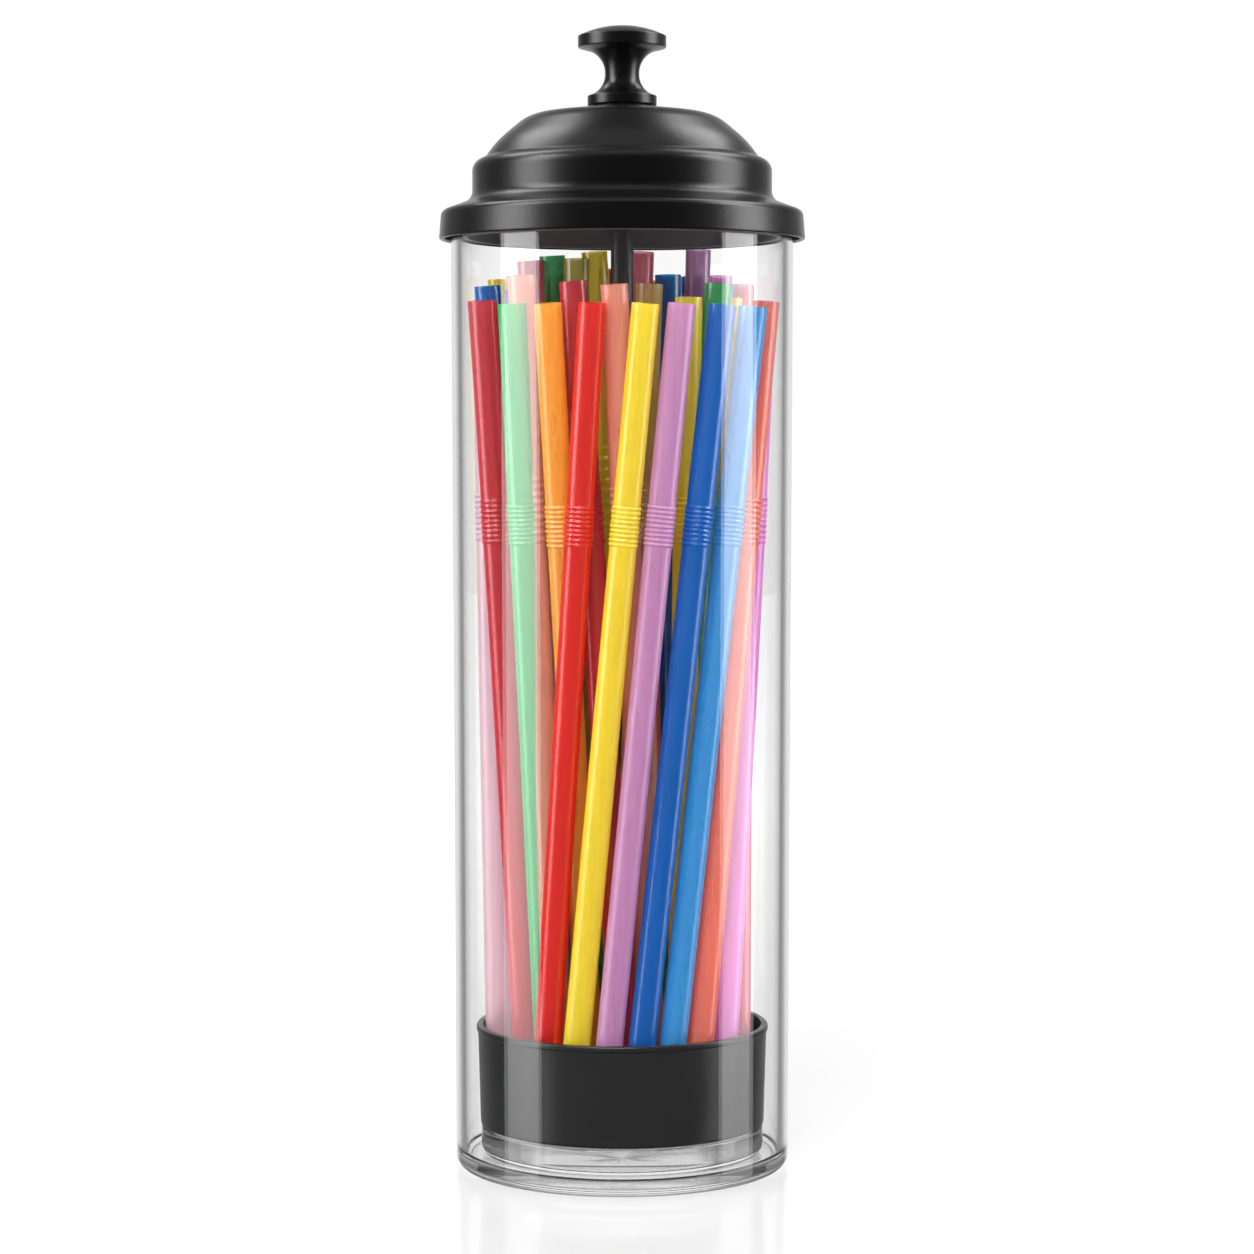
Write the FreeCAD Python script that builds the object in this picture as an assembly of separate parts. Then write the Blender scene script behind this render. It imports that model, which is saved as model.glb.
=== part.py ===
"""Pull-up straw dispenser: a clear jar, and a lid that carries a rod and a cup of bendy straws out of it.

All sizes are in millimetres. Z is up, and the origin is the centre of the jar's underside. The front is -Y.
"""

import FreeCAD, Part
import math
import os

from FreeCAD import Vector

# Straws.
straw_length = 200.0         # with the neck closed
straw_diameter = 6.5
straw_wall = 0.3
neck_rib_height = 0.35
headroom = 21.4              # from the top of a closed straw to the jar's top edge

# Round stretches are drawn as chords that stay this close to the curve.
curve_tolerance = 0.2

# Jar.
jar_radius = 42.1            # outside, at the top edge
jar_wall = 2.3
jar_floor = 3.5
jar_foot_round = 2.0
jar_floor_round = 2.2

# Clear disc under the cup.
riser_height = 7.0
riser_inset = 0.2            # of the disc's edge from the cup's
riser_round = 2.5

# Cup.
cup_height = 24.9
cup_wall = 1.3
cup_floor = 2.0
cup_gap = 3.5                # between the cup's lip and the jar's wall
cup_taper = 0.65             # by which the cup is narrower at its foot
cup_lip_height = 1.2
cup_lip_out = 0.35
cup_foot_round = 0.8
boss_radius = 6.5
boss_height = 9.0

# Rod and its fixings.
rod_radius = 2.8
rod_socket_depth = 4.0       # in the cup's boss
rod_web = 2.5                # between the socket and the screw's washer
stud_shoulder = 0.3          # by which the rod's threaded top end, the stud, is thinner
stud_length = 18.0
screw_radius = 1.5
screw_reach = 10.0           # into the rod
screw_head_radius = 3.0
screw_head_height = 2.2
screw_slot_width = 0.9
screw_slot_depth = 1.2
screw_slot_length = 3.6
screw_washer_radius = 4.2
washer_thickness = 0.8
lid_washer_radius = 6.5
nut_across_flats = 8.0
nut_height = 4.0
knob_washer_radius = 7.0
knob_washer_thickness = 0.5

# Lid, spun from sheet with its lower edge hemmed.
lid_sheet = 0.6
lid_overhang = 2.95          # of the rim's lower edge beyond the jar
lid_depth = 5.0              # how far the rim reaches down over the jar
lid_rim_height = 6.9
lid_rim_flare = 0.55
lid_rim_round = 1.8
lid_ledge_width = 5.5
lid_ledge_rise = 2.0
lid_flare_width = 2.15       # of the curve from the ledge up to the drum
lid_flare_rise = 1.8
lid_drum_height = 10.4       # from the ledge to the drum's shoulder
lid_shoulder_width = 2.65
lid_shoulder_rise = 0.7
lid_shoulder_round = 2.0
lid_dome_height = 12.2
lid_dome_lean = 7.76         # how far in the dome's side leans over its height
lid_dome_round = 24.0
lid_hem_height = 2.5

# Ring that sits on the jar's edge and fits its mouth.
ring_wall = 1.2
ring_flat = 1.8              # width of the flange's level top, round the opening

# Knob, turned.
knob_height = 19.5
knob_cap_radius = 10.85
knob_cap_band = 2.8
knob_cap_dome = 2.5
knob_cap_dome_round = 24.0
knob_cap_underside = 1.7
knob_neck_radius = 4.2
knob_cap_cove = 5.0
knob_flange_radius = 8.5
knob_flange_band = 1.5
knob_flange_slope = 1.7
knob_flange_cove = 4.6
knob_bore_depth = 12.5

# Clearances.
rest_gap = 0.3               # between curved pieces that rest on one another
ring_gap = 0.4               # between the ring's skirt and the jar's wall
seat_gap = 0.05              # between a shaft and a hole that it is fixed in
straw_gap = 0.12             # between one straw and the next
straw_play = 0.35            # between a straw and the cup, the rod or the jar

# Where each straw stands, named by its colour. Azimuths are in degrees from the front, positive to the right.
# A share is 0 on the jar's axis, and 1 against the jar's wall at the top or the cup's wall at the foot.
# The last value is how far its neck has been pulled open.
straws = [
    # colour, top azimuth, top share, foot azimuth, foot share, pull
    ("blue", -86, 1.0, -96, 0.85, 5.0),
    ("crimson", -68, 1.0, -72, 0.76, 1.0),
    ("mint", -46, 1.0, -58, 0.70, 0.0),
    ("orange", -29, 1.0, -38, 0.38, 0.5),
    ("red", -11, 1.0, -41, 0.95, 0.0),
    ("yellow", 9, 1.0, -26, 0.95, 0.0),
    ("lilac", 23, 1.0, -10, 0.95, 0.0),
    ("blue", 41, 1.0, 5, 0.95, 0.0),
    ("sky", 60, 1.0, 20, 0.95, 0.0),
    ("salmon", 74, 1.0, 36, 0.95, 1.5),
    ("pink", 97, 1.0, 55, 0.95, 2.0),
    ("rose", 121, 1.0, 80, 0.95, 7.0),
    ("pink", 135, 1.0, 110, 0.92, 9.0),
    ("blue", 149, 1.0, 130, 0.95, 9.0),
    ("orange", 165, 1.0, 150, 0.95, 8.0),
    ("mint", -177, 1.0, 170, 0.95, 9.0),
    ("red", -160, 1.0, -175, 0.95, 8.0),
    ("rose", -144, 1.0, -104, 0.95, 9.0),
    ("salmon", -131, 1.0, -150, 0.95, 9.0),
    ("yellow", -118, 1.0, -128, 0.95, 7.5),
    ("lilac", -102, 1.0, -82, 0.97, 2.0),
]
settling_rounds = 400


# Heights and radii that follow from the sizes above.
riser_top = jar_floor + riser_height
cup_base = riser_top + rest_gap
cup_top = cup_base + cup_height
floor_top = cup_base + cup_floor
straw_radius = straw_diameter / 2
neck_radius = straw_radius + neck_rib_height
jar_height = floor_top + rest_gap + straw_length + headroom
jar_bore = jar_radius - jar_wall

cup_lip_radius = jar_bore - cup_gap
cup_side_radius = cup_lip_radius - cup_lip_out
cup_foot_radius = cup_side_radius - cup_taper
cup_inner_top = cup_side_radius - cup_wall
cup_inner_foot = cup_foot_radius - cup_wall
boss_top = floor_top + boss_height
rod_foot = boss_top - rod_socket_depth
washer_seat = rod_foot - rod_web

rim_bottom = jar_height - lid_depth
rim_radius = jar_radius + lid_overhang
rim_top_z = rim_bottom + lid_rim_height
rim_top_r = rim_radius - lid_rim_flare
ledge_z = rim_top_z + lid_ledge_rise
ledge_r = rim_top_r - lid_ledge_width
drum_radius = ledge_r - lid_flare_width
shoulder_z = ledge_z + lid_drum_height
dome_foot_z = shoulder_z + lid_shoulder_rise
dome_foot_r = drum_radius - lid_shoulder_width
lid_top = dome_foot_z + lid_dome_height
lid_underside = lid_top - lid_sheet

knob_base = lid_top + knob_washer_thickness
rod_shoulder = lid_underside - washer_thickness - nut_height
stud_radius = rod_radius - stud_shoulder
stud_hole = stud_radius + seat_gap
screw_hole = screw_radius + seat_gap
screw_head_top = washer_seat - washer_thickness


def rounding_points(before, here, after, radius):
    """The ends of the chords that round a corner to a radius."""
    back, ahead = (before - here).normalize(), (after - here).normalize()
    half = back.getAngle(ahead) / 2
    reach = radius / math.tan(half)
    centre = here + (back + ahead).normalize() * (radius / math.sin(half))
    start, end = here + back * reach - centre, here + ahead * reach - centre
    turn = math.pi - 2 * half
    steps = math.ceil(turn / (2 * math.acos(1 - curve_tolerance / radius)))
    step = math.degrees(turn / steps)
    axis = start.cross(end)
    return [centre + FreeCAD.Rotation(axis, step * i).multVec(start) for i in range(steps + 1)]


def outline(corners):
    """The points of an outline in the XZ plane, from (radius, height, rounding) corners."""
    places = [Vector(x, 0, z) for x, z, _ in corners]
    points = []
    for i, (_, _, rounding) in enumerate(corners):
        if rounding:
            points += rounding_points(places[i - 1], places[i], places[i + 1], rounding)
        else:
            points.append(places[i])
    return points


def turned(points):
    """The solid of revolution of an outline about Z."""
    face = Part.Face(Part.makePolygon(points + points[:1]))
    return face.revolve(Vector(0, 0, 0), Vector(0, 0, 1), 360)


def make_jar():
    return turned(outline([
        (0, 0, 0),
        (jar_radius, 0, jar_foot_round),
        (jar_radius, jar_height, 0),
        (jar_bore, jar_height, 0),
        (jar_bore, jar_floor, jar_floor_round),
        (0, jar_floor, 0),
    ]))


def make_riser():
    edge = cup_foot_radius - riser_inset
    return turned(outline([
        (0, jar_floor, 0),
        (edge, jar_floor, riser_round),
        (edge, riser_top, 0),
        (0, riser_top, 0),
    ]))


def make_cup():
    """The cup. A boss in its floor holds the rod's foot, above a recess for the screw and its washer."""
    recess = screw_washer_radius + rest_gap
    return turned(outline([
        (recess, cup_base, 0),
        (cup_foot_radius, cup_base, cup_foot_round),
        (cup_side_radius, cup_top - cup_lip_height - cup_lip_out, 0),
        (cup_lip_radius, cup_top - cup_lip_height, 0),
        (cup_lip_radius, cup_top, 0),
        (cup_inner_top, cup_top, 0),
        (cup_inner_foot, floor_top, 0),
        (boss_radius, floor_top, 0),
        (boss_radius, boss_top, 0),
        (rod_radius + seat_gap, boss_top, 0),
        (rod_radius + seat_gap, rod_foot, 0),
        (screw_hole, rod_foot, 0),
        (screw_hole, washer_seat, 0),
        (recess, washer_seat, 0),
    ]))


def make_rod():
    """The rod, drilled at its foot for the screw and turned down at its head to the stud."""
    stud_top = rod_shoulder + stud_length
    return turned(outline([
        (0, rod_foot + screw_reach, 0),
        (screw_hole, rod_foot + screw_reach, 0),
        (screw_hole, rod_foot, 0),
        (rod_radius, rod_foot, 0),
        (rod_radius, rod_shoulder, 0),
        (stud_radius, rod_shoulder, 0),
        (stud_radius, stud_top, 0),
        (0, stud_top, 0),
    ]))


def make_tube(bore, radius, base, length):
    """A plain tube, or a washer if it is short."""
    return turned(outline([
        (bore, base, 0),
        (radius, base, 0),
        (radius, base + length, 0),
        (bore, base + length, 0),
    ]))


def make_nut():
    """A hexagon nut round the stud, its corners turned off at 30 degrees."""
    base, top = rod_shoulder, rod_shoulder + nut_height
    flat = nut_across_flats / 2
    corner = flat / math.cos(math.pi / 6)
    bearings = [i * math.pi / 3 for i in range(6)]
    points = [Vector(corner * math.cos(a), corner * math.sin(a), base) for a in bearings]
    prism = Part.Face(Part.makePolygon(points + points[:1])).extrude(Vector(0, 0, nut_height))
    chamfer = (corner - flat) * math.tan(math.pi / 6)
    blank = turned(outline([
        (stud_hole, base, 0),
        (flat, base, 0),
        (corner, base + chamfer, 0),
        (corner, top - chamfer, 0),
        (flat, top, 0),
        (stud_hole, top, 0),
    ]))
    return prism.common(blank)


def make_screw():
    """A pan-head screw with a cross recess, driven up into the rod's foot."""
    head_bottom = screw_head_top - screw_head_height
    tip = rod_foot + screw_reach - rest_gap
    screw = turned(outline([
        (0, head_bottom, 0),
        (screw_head_radius, head_bottom, screw_head_height / 2),
        (screw_head_radius, screw_head_top, 0),
        (screw_radius, screw_head_top, 0),
        (screw_radius, tip, 0),
        (0, tip, 0),
    ]))
    for width, length in ((screw_slot_length, screw_slot_width), (screw_slot_width, screw_slot_length)):
        corner = Vector(-width / 2, -length / 2, head_bottom)
        screw = screw.cut(Part.makeBox(width, length, screw_slot_depth, corner))
    return screw


def inner_skin(corners):
    """The corners of a sheet's inner skin, from its outer skin's. Of these, only the dome's is rounded."""
    lines = []
    for (x0, z0, _), (x1, z1, _) in zip(corners, corners[1:]):
        along = Vector(x1 - x0, 0, z1 - z0).normalize()
        inward = Vector(along.z, 0, -along.x) * lid_sheet
        lines.append((Vector(x0, 0, z0) + inward, along))
    skin = [(lines[0][0].x, lines[0][0].z, 0)]
    for (p, a), (q, b), (_, _, rounding) in zip(lines, lines[1:], corners[1:]):
        step = ((q.x - p.x) * b.z - (q.z - p.z) * b.x) / (a.x * b.z - a.z * b.x)
        inner_rounding = rounding - lid_sheet if rounding == lid_dome_round else 0
        skin.append((p.x + a.x * step, p.z + a.z * step, inner_rounding))
    return skin


def make_lid_shell():
    """The lid: a dome on a stepped drum, a sloping ledge, and a rim whose edge is folded up inside it."""
    outer = [
        (stud_hole, lid_top, 0),
        (dome_foot_r - lid_dome_lean, lid_top, lid_dome_round),
        (dome_foot_r, dome_foot_z, 0),
        (drum_radius, shoulder_z, lid_shoulder_round),
        (drum_radius, ledge_z + lid_flare_rise, 0),
        (ledge_r, ledge_z, 0),
        (rim_top_r, rim_top_z, lid_rim_round),
        (rim_radius, rim_bottom, 0),
    ]
    down = Vector(rim_radius - rim_top_r, 0, rim_bottom - rim_top_z).normalize()
    across = Vector(down.z, 0, -down.x) * lid_sheet
    edge = Vector(rim_radius, 0, rim_bottom)
    up = down * -lid_hem_height
    fold = [edge + across * 2, edge + across * 2 + up, edge + across + up]
    hem = [(point.x, point.z, 0) for point in fold]
    return turned(outline(outer + hem + inner_skin(outer)[::-1]))


def make_lid_ring():
    """The ring that carries the lid: a flange on the jar's edge, and a skirt down into its mouth."""
    skirt = jar_bore - ring_gap
    opening = skirt - ring_wall
    flat_edge = opening + ring_flat
    flange_edge = rim_top_r - lid_rim_round
    slope = lid_ledge_rise / lid_ledge_width
    drop = (lid_sheet + rest_gap) * math.hypot(1, slope)
    flat_z = ledge_z + (ledge_r - flat_edge) * slope - drop
    edge_z = ledge_z + (ledge_r - flange_edge) * slope - drop
    return turned(outline([
        (opening, rim_bottom, 0),
        (skirt, rim_bottom, 0),
        (skirt, jar_height, 0),
        (flange_edge, jar_height, 0),
        (flange_edge, edge_z, 0),
        (flat_edge, flat_z, 0),
        (opening, flat_z, 0),
    ]))


def make_knob():
    top = knob_base + knob_height
    band_top = top - knob_cap_dome
    band_bottom = band_top - knob_cap_band
    flange_top = knob_base + knob_flange_band
    return turned(outline([
        (0, top, 0),
        (knob_cap_radius / 2, top, knob_cap_dome_round),
        (knob_cap_radius, band_top, 0),
        (knob_cap_radius, band_bottom, 0),
        (knob_neck_radius, band_bottom - knob_cap_underside, knob_cap_cove),
        (knob_neck_radius, flange_top + knob_flange_slope, knob_flange_cove),
        (knob_flange_radius, flange_top, 0),
        (knob_flange_radius, knob_base, 0),
        (stud_hole, knob_base, 0),
        (stud_hole, knob_base + knob_bore_depth, 0),
        (0, knob_base + knob_bore_depth, 0),
    ]))


def polar(azimuth, radius, height):
    """A point at an azimuth in degrees from the front, positive to the right."""
    angle = math.radians(azimuth)
    return Vector(radius * math.sin(angle), -radius * math.cos(angle), height)


def nearest_points(a, b, c, d):
    """How far along a-b and c-d their nearest points lie, from 0 to 1."""
    u, v, w = b - a, d - c, a - c
    uu, uv, vv, uw, vw = u.dot(u), u.dot(v), v.dot(v), u.dot(w), v.dot(w)
    spread = uu * vv - uv * uv
    s = min(max((uv * vw - vv * uw) / spread, 0), 1) if spread > 1e-9 else 0.5
    t = min(max((uv * s + vw) / vv, 0), 1)
    s = min(max((uv * t - uw) / uu, 0), 1)
    return s, t


def shift(straw, along, move):
    """Slides and tips a straw, so that its point at a share of its length makes a sideways move."""
    weight = (1 - along) ** 2 + along ** 2
    move = Vector(move.x, move.y, 0)
    straw[0] += move * ((1 - along) / weight)
    straw[1] += move * (along / weight)


def keep_between(straw, height, least, most):
    """Moves a straw so that its axis is between two radii at a height."""
    foot, top = straw
    along = (height - foot.z) / (top.z - foot.z)
    here = foot + (top - foot) * along
    radius = math.hypot(here.x, here.y)
    wanted = min(max(radius, least), most)
    shift(straw, along, Vector(here.x, here.y, 0) * (wanted / radius - 1))


def settle(leaning):
    """Moves straws apart until they clear one another, the cup, the rod and the jar."""
    apart = 2 * neck_radius + straw_gap
    for _ in range(settling_rounds):
        for i, one in enumerate(leaning):
            for other in leaning[:i]:
                s, t = nearest_points(one[0], one[1], other[0], other[1])
                line = (one[0] + (one[1] - one[0]) * s) - (other[0] + (other[1] - other[0]) * t)
                if line.Length < apart:
                    push = line * ((apart / line.Length - 1) / 2)
                    shift(one, s, push)
                    shift(other, t, push * -1)
        for one in leaning:
            past_rod = rod_radius + neck_radius + straw_play
            past_boss = boss_radius + straw_radius + straw_play
            keep_between(one, one[1].z, past_rod, jar_bore - neck_radius - straw_play)
            keep_between(one, cup_top, past_rod, cup_inner_top - straw_radius - straw_play)
            keep_between(one, one[0].z, past_boss, cup_inner_foot - straw_radius - straw_play)
    return leaning


def stand_straws():
    """The foot, the direction and the pull of each straw, after settling."""
    leaning = []
    foot_z = floor_top + rest_gap
    for _, top_azimuth, top_share, foot_azimuth, foot_share, pull in straws:
        foot_radius = foot_share * (cup_inner_foot - straw_radius - straw_play)
        top_radius = top_share * (jar_bore - neck_radius - straw_play)
        foot = polar(foot_azimuth, foot_radius, foot_z)
        leaning.append([foot, polar(top_azimuth, top_radius, foot_z + straw_length + pull)])
    standing = []
    for (foot, top), (*_, pull) in zip(settle(leaning), straws):
        direction = (top - foot).normalize()
        lift = straw_radius * math.sqrt(1 - direction.z ** 2)
        standing.append((foot + Vector(0, 0, lift), direction, pull))
    return standing


def make_straw(foot, direction, pull):
    """A hollow straw, stood at its foot along a direction."""
    length = straw_length + pull
    straw = make_tube(straw_radius - straw_wall, straw_radius, 0, length)
    straw.Placement = FreeCAD.Placement(foot, FreeCAD.Rotation(Vector(0, 0, 1), direction))
    return straw


def main():
    nodes = {
        "jar": make_jar(),
        "clear_riser": make_riser(),
        "lid_ring": make_lid_ring(),
        "lid_shell": make_lid_shell(),
        "knob": make_knob(),
        "knob_washer": make_tube(stud_hole, knob_washer_radius, lid_top, knob_washer_thickness),
        "lid_washer": make_tube(stud_hole, lid_washer_radius, rod_shoulder + nut_height, washer_thickness),
        "lid_nut": make_nut(),
        "rod": make_rod(),
        "cup": make_cup(),
        "cup_washer": make_tube(screw_hole, screw_washer_radius, screw_head_top, washer_thickness),
        "cup_screw": make_screw(),
    }
    for i, ((colour, *_), (foot, direction, pull)) in enumerate(zip(straws, stand_straws())):
        nodes[f"straw_{i + 1:02d}_{colour}"] = make_straw(foot, direction, pull)
    os.makedirs("parts", exist_ok=True)
    for name, shape in nodes.items():
        shape.exportStep(f"parts/{name}.step")
    print(f"{len(nodes)} nodes, jar {jar_height:.1f} high, knob top at {knob_base + knob_height:.1f}")


main()
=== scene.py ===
"""Pull-up straw dispenser: a clear jar, a black lid with a turned knob, and a cup of bendy straws on a rod.

Everything is in metres, with Z up and the front at -Y.
"""

import bpy
import functools
import math
from bpy.props import FloatProperty, FloatVectorProperty, IntProperty, PointerProperty
from mathutils import Matrix, Vector


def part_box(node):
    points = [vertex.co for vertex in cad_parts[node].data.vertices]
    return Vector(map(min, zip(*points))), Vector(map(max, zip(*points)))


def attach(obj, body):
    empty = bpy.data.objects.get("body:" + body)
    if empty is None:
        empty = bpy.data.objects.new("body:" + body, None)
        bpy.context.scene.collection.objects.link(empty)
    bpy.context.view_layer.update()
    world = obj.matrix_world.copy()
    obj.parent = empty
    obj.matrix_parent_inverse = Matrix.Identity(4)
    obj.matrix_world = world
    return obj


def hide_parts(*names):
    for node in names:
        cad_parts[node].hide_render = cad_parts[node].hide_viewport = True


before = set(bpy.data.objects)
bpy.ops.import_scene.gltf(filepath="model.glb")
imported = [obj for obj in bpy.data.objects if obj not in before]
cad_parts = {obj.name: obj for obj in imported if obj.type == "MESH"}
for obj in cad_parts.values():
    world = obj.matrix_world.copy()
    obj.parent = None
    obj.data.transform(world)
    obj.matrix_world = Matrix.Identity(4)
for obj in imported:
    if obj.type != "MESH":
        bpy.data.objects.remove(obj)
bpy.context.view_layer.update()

bl_info = {
    "name": "Pull-up Straw Dispenser",
    "version": (1, 0, 0),
    "blender": (4, 5, 0),
    "location": "3D View > Sidebar > Straw Dispenser",
    "description": "Builds a clear straw dispenser with a stepped black lid and a cup of bendy straws",
    "category": "Add Mesh",
}

mm = 0.001
micron = 0.000001
photo_width = 1254


def linear(colour):
    """A linear colour from an sRGB hex one."""
    parts = [int(colour[i:i + 2], 16) / 255 for i in (1, 3, 5)]
    return tuple(c / 12.92 if c <= 0.04045 else ((c + 0.055) / 1.055) ** 2.4 for c in parts)


def length(name, description, value):
    """A size that a user can set, given in millimetres."""
    return FloatProperty(name=name, description=description, default=value * mm, unit="LENGTH", precision=5)


def tint(name, description, colour):
    """A colour that a user can set, given as sRGB hex."""
    return FloatVectorProperty(name=name, description=description, default=linear(colour), subtype="COLOR",
                               size=3, min=0, max=1)


def share(name, description, value):
    """A share from 0 to 1 that a user can set."""
    return FloatProperty(name=name, description=description, default=value, min=0, max=1, subtype="FACTOR")


def degrees(name, description, value):
    """An angle that a user can set, given in degrees."""
    return FloatProperty(name=name, description=description, default=math.radians(value), subtype="ANGLE")


def number(name, description, value):
    """A plain number that a user can set."""
    return FloatProperty(name=name, description=description, default=value)


class JarSettings(bpy.types.PropertyGroup):
    wall: length("Wall", "Thickness of the jar's wall", 2.3)
    floor: length("Floor", "Thickness of the jar's floor", 3.5)
    draft: length("Draft", "How much narrower the jar is at its foot than at its edge", 0.8)
    foot_round: length("Foot Rounding", "Radius of the jar's outer bottom corner", 2.6)
    floor_round: length("Floor Rounding", "Radius of the corner between wall and floor inside", 2.0)
    edge_round: length("Edge Rounding", "Radius of the jar's polished top edge", 0.5)
    riser_round: length("Disc Rounding", "Radius of the lower edge of the clear disc", 2.5)


class LidSettings(bpy.types.PropertyGroup):
    sheet: length("Sheet", "Thickness of the spun metal", 0.6)
    rim_height: length("Rim Height", "Height of the rim over the jar's edge", 6.9)
    rim_flare: length("Rim Flare", "How much wider the rim is at its lower edge", 0.55)
    rim_round: length("Rim Rounding", "Radius of the rim's upper corner", 1.8)
    ledge_width: length("Ledge Width", "Width of the sloping ledge above the rim", 5.5)
    ledge_rise: length("Ledge Rise", "Height that the ledge climbs", 2.0)
    cove_width: length("Cove Width", "Width of the hollow curve from the ledge up to the drum", 2.15)
    cove_round: length("Cove Rounding", "Radius of that hollow curve", 3.2)
    drum_height: length("Drum Height", "Height of the drum above the ledge", 9.8)
    shoulder_width: length("Shoulder Width", "Width of the step from the drum in to the dome", 3.3)
    shoulder_rise: length("Shoulder Rise", "Height that the step climbs", 1.5)
    shoulder_round: length("Shoulder Rounding", "Radius of the drum's upper corner", 3.2)
    valley_round: length("Valley Rounding", "Radius of the hollow at the dome's foot", 0.9)
    side_lean: length("Side Lean", "How far in the dome's steep foot leans", 2.4)
    side_height: length("Side Height", "Height of the dome's steep foot", 3.6)
    side_round: length("Side Rounding", "Radius from the dome's foot into its slope", 24.0)
    crown_width: length("Crown", "Radius of the dome's gently sloping top", 23.2)
    crown_drop: length("Crown Drop", "How far that top falls from its middle to its edge", 1.9)
    crown_round: length("Crown Rounding", "Radius from the dome's slope into its top", 11.0)
    seat_width: length("Seat", "Radius of the flat under the knob's washer", 9.0)
    seat_round: length("Seat Rounding", "Radius from that flat into the dome's top", 12.0)
    hem_height: length("Hem", "Height of the edge folded up inside the rim", 2.5)
    hem_bead: length("Hem Bead", "Radius of the fold", 0.55)
    ring_gap: length("Ring Gap", "Gap between the ring's skirt and the jar's wall", 0.4)
    ring_wall: length("Ring Wall", "Thickness of the ring's skirt", 1.2)
    ring_flat: length("Ring Flat", "Width of the ring's level top round its opening", 1.8)
    ring_round: length("Ring Rounding", "Radius of the ring's edges", 0.3)


class KnobSettings(bpy.types.PropertyGroup):
    cap_band: length("Cap Band", "Height of the upright band round the knob's cap", 2.8)
    cap_dome: length("Cap Dome", "Height of the cap's domed top", 2.5)
    cap_dome_round: length("Cap Dome Rounding", "Radius of the domed top", 24.0)
    cap_underside: length("Cap Underside", "Depth of the cap's sloping underside", 1.7)
    cap_cove: length("Cap Cove", "Radius from the cap into the neck", 5.9)
    neck_radius: length("Neck", "Radius of the neck", 4.2)
    flange_radius: length("Flange", "Radius of the knob's foot", 8.5)
    flange_band: length("Flange Band", "Height of the upright band round the foot", 2.4)
    flange_slope: length("Flange Slope", "Height of the slope from the foot to the neck", 1.4)
    flange_cove: length("Flange Cove", "Radius from the foot into the neck", 5.4)
    edge_round: length("Edges", "Radius of the turned edges", 0.35)
    bore_depth: length("Bore Depth", "Depth of the threaded bore", 12.5)
    washer_round: length("Washer Edges", "Radius of the washers' edges", 0.12)


class CupSettings(bpy.types.PropertyGroup):
    wall: length("Wall", "Thickness of the cup's wall", 1.3)
    floor: length("Floor", "Thickness of the cup's floor", 2.0)
    taper: length("Taper", "How much narrower the cup is at its foot", 0.65)
    lip_height: length("Lip Height", "Height of the bead round the cup's mouth", 1.2)
    lip_out: length("Lip", "How far the bead stands out", 0.35)
    lip_round: length("Lip Rounding", "Radius of the bead's edges", 0.45)
    foot_round: length("Foot Rounding", "Radius of the cup's lower corner", 0.9)
    boss_radius: length("Boss", "Radius of the boss that holds the rod", 6.5)
    boss_height: length("Boss Height", "Height of the boss above the cup's floor", 9.0)
    socket_depth: length("Socket", "Depth of the rod's socket in the boss", 4.0)
    web: length("Web", "Thickness between the socket and the screw's recess", 2.5)
    recess_gap: length("Recess Gap", "Gap between the screw's washer and its recess", 0.3)
    inner_round: length("Inner Rounding", "Radius of the corners inside the cup", 0.8)
    edge_round: length("Edges", "Radius of the other moulded edges", 0.2)


class RodSettings(bpy.types.PropertyGroup):
    radius: length("Radius", "Radius of the rod", 2.8)
    chamfer: length("Chamfer", "Chamfer at the rod's ends", 0.4)
    stud_radius: length("Stud", "Radius of the rod's threaded head", 2.5)
    stud_length: length("Stud Length", "Length of the threaded head", 18.0)
    fit: length("Fit", "Gap between a shaft and its hole", 0.05)
    screw_radius: length("Screw", "Radius of the screw's shaft", 1.5)
    screw_reach: length("Screw Reach", "Depth of the screw's hole in the rod", 10.0)


class StrawSettings(bpy.types.PropertyGroup):
    straw_length: length("Length", "Length of a straw with its neck closed", 200.0)
    radius: length("Radius", "Outer radius of a straw", 3.25)
    wall: length("Wall", "Thickness of a straw's wall", 0.3)
    end_length: length("Short End", "From the neck to the mouth", 48.0)
    neck_length: length("Neck", "Length of the neck when it is closed", 9.9)
    ribs: IntProperty(name="Ribs", description="Pleats in a neck", default=9, min=1)
    rib_height: length("Rib Height", "How far a rib stands out", 0.32)
    sides: IntProperty(name="Sides", description="Faces round a straw", default=32, min=8)
    gap: length("Gap", "Least gap between two straws", 0.12)
    play: length("Play", "Least gap between a straw and the cup, the rod or the jar", 0.35)
    foot_gap: length("Foot Gap", "Gap under a straw's foot", 0.3)
    film: share("Film", "How much of the light that meets one face of a straw's wall is scattered", 0.38)


class StrawColours(bpy.types.PropertyGroup):
    blue: tint("Blue", "Blue straws", "#0074cc")
    crimson: tint("Crimson", "Crimson straws", "#d83c48")
    mint: tint("Mint", "Mint green straws", "#46c678")
    orange: tint("Orange", "Orange straws", "#fdbd4c")
    red: tint("Red", "Red straws", "#e42c22")
    yellow: tint("Yellow", "Yellow straws", "#f8e840")
    lilac: tint("Lilac", "Lilac straws", "#d8a2d0")
    sky: tint("Sky", "Sky blue straws", "#46aee8")
    salmon: tint("Salmon", "Salmon straws", "#f5917a")
    pink: tint("Pink", "Pink straws", "#f0a0e6")
    rose: tint("Rose", "Rose straws", "#f2809a")
    peach: tint("Peach", "Peach straws", "#f4ae98")
    blush: tint("Blush", "Pale pink straws", "#ecd0da")
    khaki: tint("Khaki", "Khaki straws", "#dcc07c")
    olive: tint("Olive", "Olive yellow straws", "#cfc253")


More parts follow.
